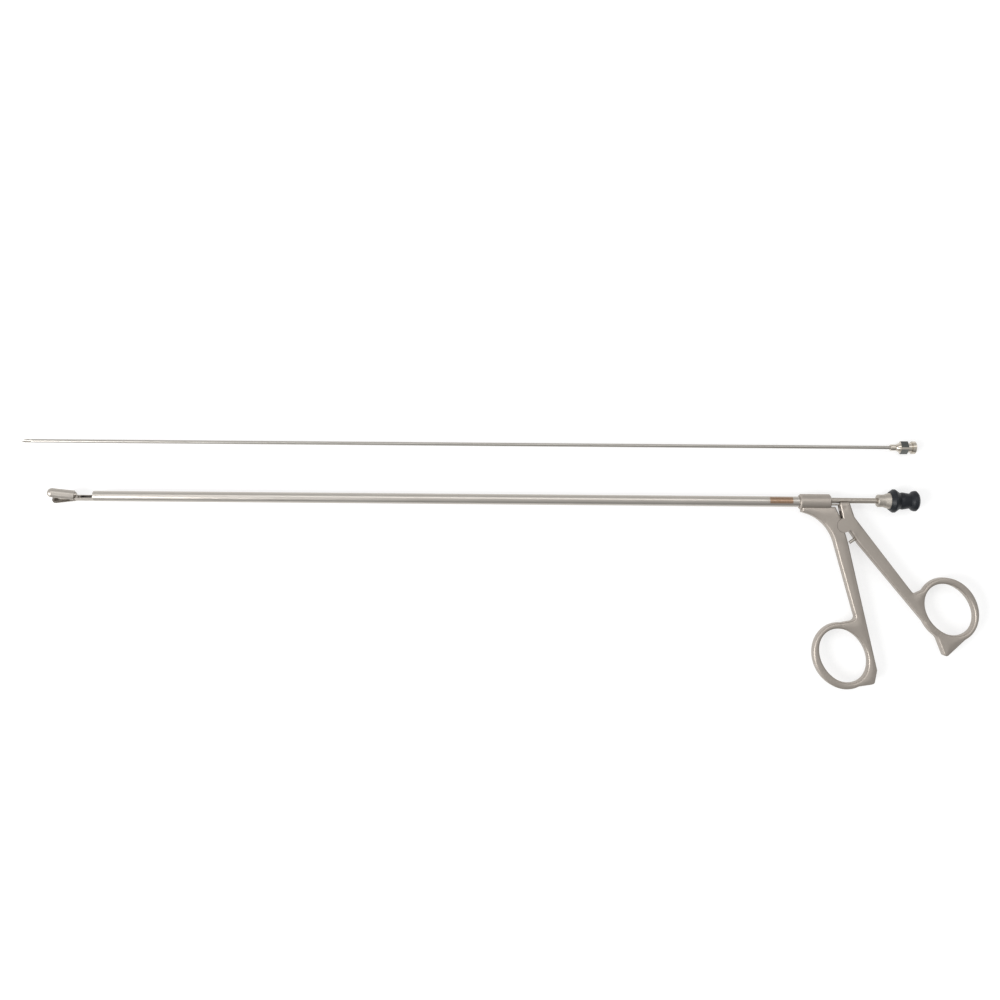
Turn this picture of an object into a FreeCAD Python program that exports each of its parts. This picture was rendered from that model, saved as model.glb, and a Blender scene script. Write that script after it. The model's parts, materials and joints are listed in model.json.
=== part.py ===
import FreeCAD, Part
import math
import os
import re
import Sketcher
from FreeCAD import Vector

# Laparoscopic grasper with a needle channel beside its shaft, and the needle that goes down it.
# Millimetres. The origin is on the shaft's axis at the barrel's front face. +X runs back to the
# finger rings, +Y away from the rings to the needle's side, +Z up from the table it lies on.
SIZES = {
    "Shaft tube": {
        "tube_d": 5.0,
        "tube_bore": 4.3,
        "tube_reach": 337.2,
        "tube_seat": 9.4,
        "seat_d": 4.68,
    },
    "Barrel": {
        "barrel_d": 7.5,
        "barrel_length": 14.8,
        "barrel_chamfer": 0.6,
        "seal_thickness": 1.4,
        "plug_inset": 0.5,
    },
    "Guide tube of the needle": {
        "guide_d": 2.6,
        "guide_bore": 2.1,
        "guide_offset": 0.82,
        "guide_inset": 0.4,
        "guide_in_hub": 5.2,
    },
    "Pull rod": {
        "rod_d": 0.9,
        "rod_offset": 1.38,
        "running": 0.05,
    },
    "Jaw fork and its stack of plates": {
        "jaw_roll": 27.0,
        "pin_ahead": 7.8,
        "stack_offset": 1.03,
        "layer": 0.36,
        "layer_gap": 0.02,
        "fork_plate": 0.32,
        "fork_end": 1.32,
        "plug_length": 11.0,
        "throat_top": 0.53,
        "throat_base": 1.95,
        "jaw_pin_d": 1.0,
        "pin_play": 0.03,
    },
    "Jaw linkage": {
        "hub_r": 1.25,
        "hub_play": 0.07,
        "tail_arm": 2.6,
        "tail_angle": 27.0,
        "tail_width": 1.0,
        "tail_pin_d": 0.7,
        "knuckle_r": 0.68,
        "link_pin_d": 0.7,
        "link_end_r": 0.62,
        "link_width": 0.96,
        "jaw_rest_angle": 14.0,
        "jaw_travel_angle": 33.0,
        "open_pivot_play": 0.025,
        "head_reach": 1.0,
        "shank_length": 4.4,
        "head_length": 3.4,
        "head_width": 1.7,
        "head_play": 0.05,
        "rod_in_head": 2.8,
    },
    "Jaws": {
        "jaw_length": 12.3,
        "jaw_back": 1.42,
        "jaw_r": 2.4,
        "nose_length": 2.3,
        "bite_gap": 0.03,
        "channel_r": 1.55,
        "channel_offset": 0.3,
        "channel_end": 1.3,
        "channel_start": 3.0,
        "groove_play": 0.15,
        "neck_height": 0.8,
        "neck_overlap": 0.8,
        "pocket_r": 0.85,
        "pocket_depth": 1.05,
        "pocket_start": 5.6,
        "pocket_end": 1.9,
        "tooth_pitch": 0.6,
        "tooth_depth": 0.3,
        "tooth_start": 3.1,
        "tooth_count": 17,
    },
    "Port collar and seal cap": {
        "port_back": 37.4,
        "port_d": 6.0,
        "port_length": 3.0,
        "port_chamfer": 0.35,
        "flare_d": 8.2,
        "flare_length": 3.2,
        "flare_band": 0.6,
        "spigot_d": 5.8,
        "spigot_length": 7.4,
        "port_bore": 2.1,
        "cap_front": 5.8,
        "cap_lip_d": 8.8,
        "cap_flange_d": 11.2,
        "cap_flange_at": 2.5,
        "cap_flange_slope": 0.9,
        "cap_flange_end": 4.9,
        "cap_neck_d": 7.8,
        "cap_body_d": 8.3,
        "cap_body_at": 6.2,
        "cap_waist_d": 7.1,
        "cap_waist_at": 9.8,
        "cap_rim_d": 9.8,
        "cap_rim_at": 10.8,
        "cap_rim_bevel": 0.9,
        "cap_length": 13.5,
        "cap_hole": 2.2,
        "cap_play": 0.05,
    },
    "Handles": {
        "handle_thickness": 5.5,
        "edge_round": 1.0,
        "pivot_x": 21.0,
        "pivot_drop": 11.1,
        "pivot_pin_d": 3.2,
        "tongue": 2.4,
        "slot": 2.5,
        "cheek_r": 3.4,
        "lap_play": 0.12,
        "plate_front": 1.0,
        "plate_top": 2.3,
        "plate_depth": 4.9,
        "plate_back": 16.9,
        "plate_corner_x": 13.7,
        "plate_corner_drop": 8.5,
        "plate_sweep_r": 20.0,
        "plate_shoulder_x": 19.4,
        "plate_shoulder_drop": 7.6,
        "crotch_x": 22.2,
        "crotch_drop": 16.6,
        "neck_x": 23.15,
        "neck_drop": 19.6,
        "front_arm_foot": 4.75,
        "front_foot_x": 30.85,
        "front_foot_drop": 52.2,
        "front_bend_x": 37.5,
        "front_bend_drop": 80.0,
        "front_heel_x": 36.3,
        "front_heel_drop": 86.7,
        "front_heel_base_x": 24.0,
        "front_heel_base_drop": 88.6,
        "front_web_x": 27.5,
        "front_web_drop": 56.2,
        "front_web_end_x": 19.0,
        "front_web_end_drop": 57.9,
        "front_heel_r": 1.6,
        "rear_heel_r": 1.5,
        "bend_r": 6.0,
        "front_ring_x": 21.49,
        "front_ring_drop": 73.36,
        "front_ring_length": 27.8,
        "front_ring_width": 21.3,
        "front_ring_angle": 123.7,
        "front_rim_ends": 2.34,
        "front_rim_x": -0.13,
        "front_rim_y": -0.07,
        "front_rim_angle": 115.2,
        "front_ring_wall": 3.35,
        "rear_top": 0.1,
        "low_cheek_drop": 0.8,
        "rear_top_x": 18.7,
        "rear_top_end": 23.7,
        "rear_back_x": 26.05,
        "rear_back_drop": 7.2,
        "rear_elbow_x": 31.95,
        "rear_elbow_drop": 14.7,
        "rear_crotch_x": 24.3,
        "rear_crotch_drop": 14.2,
        "rear_inner_x": 28.5,
        "rear_inner_drop": 20.1,
        "rear_outer_x": 52.1,
        "rear_outer_drop": 40.5,
        "rear_top_r": 0.9,
        "rear_back_r": 4.0,
        "rear_elbow_r": 9.0,
        "rear_bend_x": 66.0,
        "rear_bend_drop": 64.4,
        "rear_heel_x": 69.9,
        "rear_heel_drop": 74.2,
        "rear_heel_base_x": 82.0,
        "rear_heel_base_drop": 62.6,
        "rear_ring_x": 71.72,
        "rear_ring_drop": 51.01,
        "rear_ring_length": 27.5,
        "rear_ring_width": 20.7,
        "rear_ring_angle": 131.0,
        "rear_rim_ends": 2.3,
        "rear_rim_x": -0.04,
        "rear_rim_y": -0.07,
        "rear_rim_angle": 120.8,
        "rear_ring_wall": 3.05,
        "rear_web_x": 54.75,
        "rear_web_drop": 43.8,
        "rear_web_end_x": 61.6,
        "rear_web_end_drop": 40.6,
        "ring_edge_round": 0.95,
        "web_r": 2.2,
    },
    "Handle drive and stop": {
        "drive_arm": 8.3,
        "drive_pin_d": 1.2,
        "drive_rise": 0.15,
        "eye_front": 19.5,
        "eye_back": 22.5,
        "eye_top": 0.64,
        "eye_wall": 0.6,
        "eye_thickness": 2.4,
        "rod_in_eye": 2.2,
        "stop_d": 1.5,
        "stop_reach": 3.0,
        "stop_depth": 2.4,
        "stop_along": 4.2,
    },
    "Needle that lies beside the grasper": {
        "needle_d": 1.65,
        "needle_bore": 1.2,
        "needle_tip": 374.7,
        "needle_bevel": 6.3,
        "needle_side": 26.4,
        "needle_in_hub": 2.6,
        "hub_front": 47.05,
        "ferrule_d": 3.0,
        "ferrule_length": 2.8,
        "hub_nose_d": 3.2,
        "hub_cone_d": 4.9,
        "hub_cone_length": 2.0,
        "hub_collar": 6.3,
        "hub_flats": 5.1,
        "hub_roll": 54.5,
        "hub_collar_length": 3.5,
        "hub_neck_d": 4.7,
        "hub_neck_length": 2.05,
        "hub_flange_d": 6.2,
        "hub_flange_length": 1.8,
        "hub_edge": 0.3,
        "socket_d": 4.0,
        "socket_depth": 6.4,
        "socket_taper_ratio": 0.03,
    },
    "Tools that cut, and pieces that are fused": {
        "past": 1.0,
        "lap": 0.1,
    },
}

doc = FreeCAD.newDocument("LaparoscopicGrasper")
sheet = doc.addObject("Spreadsheet::Sheet", "Sizes")
row = 1
for heading, group in SIZES.items():
    sheet.set(f"A{row}", heading)
    for alias, value in group.items():
        row += 1
        sheet.set(f"A{row}", alias.replace("_", " "))
        sheet.set(f"B{row}", str(value))
        sheet.setAlias(f"B{row}", alias)
    row += 2
doc.recompute()
ALIASES = sorted((alias for group in SIZES.values() for alias in group), key=len, reverse=True)
ALIAS_WORD = re.compile(r"\b(" + "|".join(ALIASES) + r")\b")


def size(alias):
    """The number in the sheet's cell of this name."""
    return float(sheet.get(alias))


def linked(expression):
    """A sheet expression with each size's name written as a link to its cell."""
    return ALIAS_WORD.sub(r"Sizes.\1", expression)


def bind(feature, **expressions):
    """Ties properties of a feature to the sheet."""
    for name, expression in expressions.items():
        feature.setExpression(name, linked(expression))
    return feature


def shifted(feature, x="0", y="0", z="0", axis="1; 0; 0", turn="0"):
    """Places a feature by expressions: its base point, then a turn about an axis through it."""
    place = f"placement(vector({x}; {y}; {z}); rotation(vector({axis}); {turn}))"
    return bind(feature, Placement=place)


# The shaft's inside is rolled about the shaft's axis. "Across" is the way from the axis to the
# needle's side in that rolled frame, and the jaw pin lies along it.
ROLLED = "placement(vector({x}; 0; 0); rotation(vector(1; 0; 0); -jaw_roll))"
ACROSS = " * placement(vector(0; {across}; 0); rotation(vector(1; 0; 0); 0))"
TIP_X = "-(tube_reach + pin_ahead)"


def rolled(feature, x, across="0", turn="0", axis="0; 1; 0"):
    """Places a feature in the rolled frame, at an offset across the shaft, then turns it there."""
    place = ROLLED.format(x=x) + ACROSS.format(across=across)
    place += f" * placement(vector(0; 0; 0); rotation(vector({axis}); {turn}))"
    return bind(feature, Placement=place)


# Sketches and the features made from them

def new_body(name):
    solid = doc.addObject("PartDesign::Body", name)
    solid.Label = name
    return solid


def new_sketch(name, solid=None, role="XY_Plane"):
    """A sketch on a plane of its body's origin, or a free one in the XY plane."""
    if solid is None:
        return doc.addObject("Sketcher::SketchObject", name)
    sketch = solid.newObject("Sketcher::SketchObject", name)
    plane = next(face for face in solid.Origin.OriginFeatures if face.Role == role)
    sketch.AttachmentSupport = [(plane, "")]
    sketch.MapMode = "FlatFace"
    return sketch


def pin_point(sketch, geometry, point, start, x, y):
    """Ties a sketch point's two coordinates to the sheet."""
    for kind, value, expression in (("DistanceX", start.x, x), ("DistanceY", start.y, y)):
        index = sketch.addConstraint(Sketcher.Constraint(kind, -1, 1, geometry, point, value))
        sketch.setExpression(f"Constraints[{index}]", linked(expression))


def draw_polygon(sketch, corners):
    """A closed outline of straight lines; each corner is a pair of expressions."""
    count = len(corners)
    start = [Vector(math.cos(2 * math.pi * k / count), math.sin(2 * math.pi * k / count), 0) * 10
             for k in range(count)]
    for k in range(count):
        sketch.addGeometry(Part.LineSegment(start[k], start[(k + 1) % count]), False)
    for k in range(count):
        sketch.addConstraint(Sketcher.Constraint("Coincident", k, 2, (k + 1) % count, 1))
    for k, (x, y) in enumerate(corners):
        pin_point(sketch, k, 1, start[k], x, y)


def draw_circle(sketch, diameter, x="0", y="0"):
    centre = Vector(0.5, 0.5, 0)
    index = sketch.addGeometry(Part.Circle(centre, Vector(0, 0, 1), 1), False)
    pin_point(sketch, index, 3, centre, x, y)
    radius = sketch.addConstraint(Sketcher.Constraint("Diameter", index, 2))
    sketch.setExpression(f"Constraints[{radius}]", linked(diameter))


def turned(name, corners):
    """A body turned about its own X axis from a half section of (along, radius) corners."""
    solid = new_body(name)
    sketch = new_sketch(name + "_section", solid)
    draw_polygon(sketch, corners)
    turn = solid.newObject("PartDesign::Revolution", name + "_turn")
    turn.Profile = sketch
    turn.ReferenceAxis = (sketch, ["H_Axis"])
    turn.Angle = 360
    return solid


def drawn_bar(name, length, circles):
    """A bar along X whose section is the area between circles of (diameter, y, z)."""
    solid = new_body(name)
    sketch = new_sketch(name + "_section", solid, "YZ_Plane")
    for circle in circles:
        draw_circle(sketch, *circle)
    pad = solid.newObject("PartDesign::Pad", name + "_length")
    pad.Profile = sketch
    bind(pad, Length=length)
    return solid


# Primitives and booleans

def block(name, x, y, z, length, width, height):
    """A box from its lowest corner, its sides along X, Y and Z."""
    solid = doc.addObject("Part::Box", name)
    bind(solid, Length=length, Width=width, Height=height)
    return shifted(solid, x, y, z)


def round_bar(name, diameter, length, x="0", y="0", z="0", axis="0; 0; 1", turn="0"):
    """A cylinder that starts at a point and runs along Z before its turn."""
    solid = doc.addObject("Part::Cylinder", name)
    bind(solid, Radius=f"({diameter}) / 2", Height=length)
    return shifted(solid, x, y, z, axis, turn)


def across_bar(name, diameter, length, x="0", y="0", z="0"):
    """A cylinder along Y, the way of the jaw pin."""
    return round_bar(name, diameter, length, x, y, z, "1; 0; 0", "-90")


def along_bar(name, diameter, length, x="0", y="0", z="0"):
    """A cylinder along X, the way of the shaft."""
    return round_bar(name, diameter, length, x, y, z, "0; 1; 0", "90")


def fused(name, pieces):
    union = doc.addObject("Part::MultiFuse", name)
    union.Shapes = pieces
    union.Refine = True
    return union


def common(name, pieces):
    shared = doc.addObject("Part::MultiCommon", name)
    shared.Shapes = pieces
    return shared


def cut(name, base, tools):
    result = doc.addObject("Part::Cut", name)
    result.Base = base
    result.Tool = tools[0] if len(tools) == 1 else fused(name + "_tools", tools)
    return result


def plate_from(name, sketch, thickness):
    """A plate of a closed sketch, half of its thickness on each side of the sketch's plane."""
    plate = doc.addObject("Part::Extrusion", name)
    plate.Base = sketch
    plate.DirMode = "Custom"
    plate.Dir = Vector(0, 0, 1)
    plate.Solid = True
    plate.Symmetric = True
    return bind(plate, LengthFwd=thickness)


def rounded(name, base, chosen):
    """Rounds the base's edges; chosen(edge) gives an edge's radius, or None."""
    doc.recompute()
    result = doc.addObject("Part::Fillet", name)
    result.Base = base
    radii = ((number, chosen(edge)) for number, edge in enumerate(base.Shape.Edges, 1))
    result.Edges = [(number, radius, radius) for number, radius in radii if radius]
    return result


def upright(edge):
    """True for a straight edge along Z."""
    return len(edge.Vertexes) == 2 and (edge.Vertexes[1].Point - edge.Vertexes[0].Point).cross(
        Vector(0, 0, 1)).Length < 1e-6


def corner_rounds(*corners):
    """A chooser that rounds the upright edge at each (x, y, radius)."""
    def chosen(edge):
        if not upright(edge):
            return None
        foot = edge.Vertexes[0].Point
        for x, y, radius in corners:
            if math.hypot(foot.x - x, foot.y - y) < 0.01:
                return radius
        return None
    return chosen


# Shaft tube, barrel and what the barrel holds

def make_shaft():
    tube = turned("shaft_tube", [
        ("0", "tube_bore / 2"),
        ("0", "tube_d / 2"),
        ("tube_reach", "tube_d / 2"),
        ("tube_reach", "seat_d / 2"),
        ("tube_reach + tube_seat", "seat_d / 2"),
        ("tube_reach + tube_seat", "tube_bore / 2")])
    shifted(tube, x="-tube_reach")
    turned("barrel", [
        ("0", "seat_d / 2"),
        ("0", "barrel_d / 2 - barrel_chamfer"),
        ("barrel_chamfer", "barrel_d / 2"),
        ("barrel_length - barrel_chamfer", "barrel_d / 2"),
        ("barrel_length", "barrel_d / 2 - barrel_chamfer"),
        ("barrel_length", "seat_d / 2")])
    bores = [("guide_d", "guide_offset", "0"), ("rod_d + 2 * running", "-rod_offset", "0")]
    seal = drawn_bar("rod_seal", "seal_thickness", [("seat_d",)] + bores)
    rolled(seal, "tube_seat")
    plug = drawn_bar("barrel_plug", "barrel_length - plug_inset - tube_seat - seal_thickness",
                     [("seat_d",)] + bores)
    rolled(plug, "tube_seat + seal_thickness")


def make_guide_tube():
    tube = drawn_bar("guide_tube", "tube_reach - guide_inset + port_back + guide_in_hub",
                     [("guide_d",), ("guide_bore",)])
    rolled(tube, "guide_inset - tube_reach", "guide_offset")


# Port collar and its cap, on the guide tube's axis

def make_port():
    hub = turned("port_hub", [
        ("0", "guide_d / 2"),
        ("0", "port_d / 2 - port_chamfer"),
        ("port_chamfer", "port_d / 2"),
        ("port_length", "port_d / 2"),
        ("port_length + flare_length", "flare_d / 2"),
        ("port_length + flare_length + flare_band", "flare_d / 2"),
        ("port_length + flare_length + flare_band", "spigot_d / 2"),
        ("port_length + flare_length + flare_band + spigot_length", "spigot_d / 2"),
        ("port_length + flare_length + flare_band + spigot_length", "port_bore / 2"),
        ("guide_in_hub", "port_bore / 2"),
        ("guide_in_hub", "guide_d / 2")])
    rolled(hub, "port_back", "guide_offset")
    seat = "port_length + flare_length + flare_band - cap_front + cap_play"
    floor = seat + " + spigot_length"
    cap = turned("seal_cap", [
        ("0", "flare_d / 2 + cap_play"),
        ("0", "cap_lip_d / 2"),
        ("cap_flange_at - cap_flange_slope", "cap_flange_d / 2"),
        ("cap_flange_at", "cap_flange_d / 2"),
        ("cap_flange_end", "cap_neck_d / 2"),
        ("cap_body_at", "cap_body_d / 2"),
        ("cap_waist_at", "cap_waist_d / 2"),
        ("cap_rim_at", "cap_rim_d / 2 - cap_rim_bevel / 3"),
        ("cap_rim_at + cap_rim_bevel", "cap_rim_d / 2"),
        ("cap_length - cap_rim_bevel", "cap_rim_d / 2"),
        ("cap_length", "cap_rim_d / 2 - cap_rim_bevel"),
        ("cap_length", "cap_hole / 2"),
        (floor, "cap_hole / 2"),
        (floor, "spigot_d / 2 + cap_play"),
        (seat, "spigot_d / 2 + cap_play"),
        (seat, "flare_d / 2 + cap_play")])
    rolled(cap, "port_back + cap_front", "guide_offset")


# Jaw fork: a plug in the tube's end and the two plates that carry the jaw pin. Its frame has the
# jaw pin along Y through the origin, the shaft behind it along +X.

STACK = "(3 * layer + 4 * layer_gap)"
NEAR_FACE = f"(-stack_offset + {STACK} / 2)"
FAR_FACE = f"(-stack_offset - {STACK} / 2)"
STACK_TOP = f"{NEAR_FACE} - layer_gap"


def make_fork():
    outside = along_bar("fork_outside", "tube_d", "pin_ahead + 2 * fork_end", "-2 * fork_end")
    plates = []
    for side, start in (("near", NEAR_FACE), ("far", f"{FAR_FACE} - fork_plate")):
        strip = block(f"fork_{side}_strip", "0", start, "-fork_end", "pin_ahead", "fork_plate",
                      "2 * fork_end")
        end = across_bar(f"fork_{side}_end", "2 * fork_end", "fork_plate", y=start)
        plates += [strip, end]
    prongs = common("fork_prongs", [outside, fused("fork_plates", plates)])
    root = along_bar("fork_root", "tube_bore", "plug_length", "pin_ahead")
    blank = fused("fork_blank", [prongs, root])
    throat = block("fork_throat", "pin_ahead", "-throat_base", "-head_width / 2 - head_play",
                   "plug_length", "throat_base - throat_top", "head_width + 2 * head_play")
    channel = along_bar("fork_channel", "guide_d", "plug_length", "pin_ahead + guide_inset",
                        "guide_offset")
    mouth = along_bar("fork_mouth", "guide_bore", "guide_inset + past", "pin_ahead - past / 2",
                      "guide_offset")
    hole = across_bar("fork_pin_hole", "jaw_pin_d", "tube_d", y="-tube_d / 2")
    rolled(cut("jaw_fork", blank, [throat, channel, mouth, hole]), TIP_X)
    pin = across_bar("jaw_pin", "jaw_pin_d", f"{STACK} + 2 * fork_plate")
    rolled(pin, TIP_X, f"{FAR_FACE} - fork_plate", "-90", "1; 0; 0")


# The jaw linkage: two jaw tails, two links and the rod's tongue. Links and tails are equally
# long, so the rod pin lies at 2 * tail_arm * cos(tail angle + jaw angle) behind the jaw pin. The
# rod moves evenly with the jaws, so the link's hole at the tail pin has slack for the difference.

def linkage():
    """The rod pin's place at rest, the slack, and the handle's travel in degrees."""
    closed = math.radians(size("tail_angle"))
    travel = math.radians(size("jaw_travel_angle"))
    span = 2 * size("tail_arm")
    slope = span * (math.cos(closed) - math.cos(closed + travel)) / travel
    steepest = math.asin(slope / span)
    bulge = span * math.cos(steepest) - span * math.cos(closed) + slope * (steepest - closed)
    at_rest = span * math.cos(closed) - slope * math.radians(size("jaw_rest_angle")) + bulge / 2
    return at_rest, bulge / 2, math.degrees(slope * travel / size("drive_arm"))


ROD_PIN_AT, LINK_SLACK, HANDLE_TRAVEL = linkage()
ROD_PIN_X = f"{TIP_X} + {ROD_PIN_AT}"
LAYERS = {
    "near": f"({NEAR_FACE} - layer_gap - layer)",
    "middle": "(-stack_offset - layer / 2)",
    "far": f"({FAR_FACE} + layer_gap)",
}
HUB_THICKNESS = "1.5 * layer + layer_gap / 2"
HUBS = {"near": "(-stack_offset + layer_gap / 2)", "far": LAYERS["far"]}
WIDE = "2 * tube_d"


def make_link(side, layer, turn):
    """A link in its own frame: the rod pin's hole at the origin, the tail pin's along +X."""
    name = f"{side}_link"
    bar = block(f"{name}_bar", "0", "0", "-link_width / 2", "tail_arm", "layer", "link_width")
    rod_end = across_bar(f"{name}_rod_end", "2 * link_end_r", "layer")
    tail_end = across_bar(f"{name}_tail_end", "2 * knuckle_r", "layer", x="tail_arm")
    rod_hole = across_bar(f"{name}_rod_hole", "link_pin_d + 2 * pin_play", WIDE, y="-tube_d")
    slack_hole = across_bar(f"{name}_tail_hole", f"tail_pin_d + 2 * ({LINK_SLACK} + open_pivot_play)",
                            WIDE, x="tail_arm", y="-tube_d")
    link = cut(name, fused(f"{name}_blank", [bar, rod_end, tail_end]), [rod_hole, slack_hole])
    rolled(link, ROD_PIN_X, LAYERS[layer], turn)


def make_linkage():
    make_link("upper", "near", "180 - tail_angle - jaw_rest_angle")
    make_link("lower", "far", "180 + tail_angle + jaw_rest_angle")
    pin = across_bar("link_pin", "link_pin_d", f"{STACK} - 2 * layer_gap")
    rolled(pin, ROD_PIN_X, LAYERS["far"], "-90", "1; 0; 0")
    tongue = block("head_tongue", "0", LAYERS["middle"], "-link_end_r", "head_reach + lap", "layer",
                   "2 * link_end_r")
    nose = across_bar("head_nose", "2 * link_end_r", "layer", y=LAYERS["middle"])
    shank = block("head_shank", "head_reach", f"{FAR_FACE} + head_play", "-head_width / 2",
                  "shank_length + lap", f"-throat_top - {FAR_FACE} - 2 * head_play", "head_width")
    heel = block("head_heel", "head_reach + shank_length", "head_play - throat_base",
                 "-head_width / 2", "head_length", "throat_base - throat_top - 2 * head_play",
                 "head_width")
    pin_hole = across_bar("head_pin_hole", "link_pin_d", WIDE, y="-tube_d")
    socket = along_bar("head_socket", "rod_d", "rod_in_head + past",
                       "head_reach + shank_length + head_length - rod_in_head", "-rod_offset")
    blank = fused("head_blank", [tongue, nose, shank, heel])
    rolled(cut("drive_head", blank, [pin_hole, socket]), ROD_PIN_X)


# The jaws, closed in their own frame, which has the jaw pin through the origin and the tip at -X

def make_tooth_comb(name, side, start):
    """A saw-toothed bar across the jaw, which leaves the teeth when it is cut away."""
    pitch = size("tooth_pitch")
    points = [Vector(-start, -size("jaw_r"), 0)]
    for tooth in range(int(size("tooth_count"))):
        points.append(Vector(-start - tooth * pitch, -size("jaw_r"), side * size("bite_gap")))
        points.append(Vector(-start - (tooth + 0.5) * pitch, -size("jaw_r"), side * size("tooth_depth")))
    end = -start - size("tooth_count") * pitch
    points.append(Vector(end, -size("jaw_r"), side * size("bite_gap")))
    points.append(Vector(end, -size("jaw_r"), 0))
    comb = doc.addObject("Part::Feature", name)
    comb.Shape = Part.Face(Part.makePolygon(points + points[:1])).extrude(Vector(0, 2 * size("jaw_r"), 0))
    return comb


def make_jaw(name, side, layer):
    """side is 1 for the jaw above the closing line and -1 for the one below."""
    sign = "" if side > 0 else "-"

    def upward(low, height):
        """Where a box of this height starts, on the jaw's side of the closing line."""
        return low if side > 0 else f"-({low}) - ({height})"

    shell = along_bar(f"{name}_shell", "2 * jaw_r", "jaw_length - nose_length",
                      "-jaw_back - jaw_length + nose_length")
    nose = doc.addObject("Part::Ellipsoid", f"{name}_nose")
    bind(nose, Radius1="jaw_r", Radius2="nose_length", Radius3="jaw_r")
    shifted(nose, "-jaw_back - jaw_length + nose_length")
    half = block(f"{name}_half", "-jaw_length - jaw_back - past", "-jaw_r",
                 upward("bite_gap", "jaw_r"), "jaw_length + past", "2 * jaw_r", "jaw_r")
    blade = common(f"{name}_blade", [fused(f"{name}_round", [shell, nose]), half])
    channel_x = "-jaw_back - jaw_length + channel_end"
    channel = along_bar(f"{name}_channel", "2 * channel_r", f"-channel_start - ({channel_x})", channel_x,
                        "channel_offset")
    groove = along_bar(f"{name}_groove", "needle_d + 2 * groove_play", "channel_start",
                       "-channel_start - past / 2", "guide_offset")
    pocket_x = "-jaw_back - jaw_length + pocket_end"
    pocket = along_bar(f"{name}_pocket", "2 * pocket_r", f"-pocket_start - ({pocket_x})", pocket_x,
                       "channel_offset", f"{sign}pocket_depth")
    shift = size("tooth_start") + (0 if side > 0 else size("tooth_pitch") / 2)
    comb = make_tooth_comb(f"{name}_comb", side, shift)
    hollow = cut(f"{name}_hollow", blade, [channel, groove, pocket, comb])

    hub = across_bar(f"{name}_hub", "2 * hub_r", HUB_THICKNESS, y=HUBS[layer])
    neck = block(f"{name}_neck", "-jaw_back - neck_overlap", HUBS[layer], upward("bite_gap", "neck_height"),
                 "jaw_back + neck_overlap", HUB_THICKNESS, "neck_height")
    bar = block(f"{name}_tail_bar", "0", LAYERS["middle"], "-tail_width / 2", "tail_arm", "layer",
                "tail_width")
    knuckle = across_bar(f"{name}_knuckle", "2 * knuckle_r", "layer", "tail_arm", LAYERS["middle"])
    tail = fused(f"{name}_tail", [bar, knuckle])
    shifted(tail, axis="0; 1; 0", turn=f"{sign}tail_angle")
    other_hub = f"{LAYERS['middle']} - lap" if layer == "near" else "(-stack_offset - layer_gap / 2)"
    room = across_bar(f"{name}_hub_room", "2 * (hub_r + hub_play)", "layer / 2 + layer_gap / 2 + lap",
                      y=other_hub)
    pin_hole = across_bar(f"{name}_pin_hole", "jaw_pin_d + 2 * pin_play", WIDE, y="-tube_d")
    tail_hole = across_bar(f"{name}_tail_hole", "tail_pin_d", WIDE, "tail_arm * cos(tail_angle)",
                           "-tube_d", f"-({sign}tail_arm * sin(tail_angle))")
    body = fused(f"{name}_blank", [hollow, neck, hub, cut(f"{name}_tail_cut", tail, [room])])
    rolled(cut(name, body, [pin_hole, tail_hole]), TIP_X, turn=f"{sign}jaw_rest_angle")
    pin = across_bar(f"{name[:5]}_tail_pin", "tail_pin_d", "2 * layer + layer_gap")
    angle = "(tail_angle + jaw_rest_angle)"
    down = "-" if side > 0 else ""
    end = f"vector(tail_arm * cos{angle}; 0; {down}tail_arm * sin{angle})"
    start = LAYERS["middle"] if layer == "near" else LAYERS["far"]
    place = ROLLED.format(x=TIP_X) + ACROSS.format(across=start)
    bind(pin, Placement=f"{place} * placement({end}; rotation(vector(1; 0; 0); -90))")


# Pull rod, from the drive head through the barrel to its eye in the handle's clevis

ROD_Y = "-rod_offset * cos(jaw_roll)"
ROD_Z = "rod_offset * sin(jaw_roll)"
DRIVE_Y = "(drive_arm - pivot_drop)"


def make_rod():
    front = f"({ROD_PIN_X} + head_reach + shank_length + head_length - rod_in_head)"
    rod = along_bar("pull_rod", "rod_d", f"eye_front + rod_in_eye - {front}")
    rolled(rod, front, "-rod_offset", "90")
    eye_low = f"({DRIVE_Y} - drive_rise - drive_pin_d / 2 - pin_play - eye_wall)"
    plate = block("eye_plate", "eye_front", eye_low, "-eye_thickness / 2", "eye_back - eye_front",
                  f"-eye_top - {eye_low}", "eye_thickness")
    hole_d = "drive_pin_d + 2 * pin_play"
    top = round_bar("eye_hole_top", hole_d, WIDE, "pivot_x", DRIVE_Y, "-tube_d")
    low = round_bar("eye_hole_low", hole_d, WIDE, "pivot_x", f"{DRIVE_Y} - drive_rise", "-tube_d")
    middle = block("eye_hole_middle", f"pivot_x - ({hole_d}) / 2", f"{DRIVE_Y} - drive_rise", "-tube_d",
                   hole_d, "drive_rise", WIDE)
    socket = along_bar("eye_socket", "rod_d", "rod_in_eye + past", "eye_front - past", ROD_Y, ROD_Z)
    cut("rod_eye", plate, [top, low, middle, socket])


# Handles, drawn in the plane of the rings

def make_ring_hole(side):
    """The elliptical outline of a finger ring's hole."""
    hole = doc.addObject("Part::Ellipse", f"{side}_ring_inside")
    bind(hole, MajorRadius=f"{side}_ring_length / 2", MinorRadius=f"{side}_ring_width / 2")
    return shifted(hole, f"{side}_ring_x", f"-{side}_ring_drop", "0", "0; 0; 1", f"{side}_ring_angle")


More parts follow.
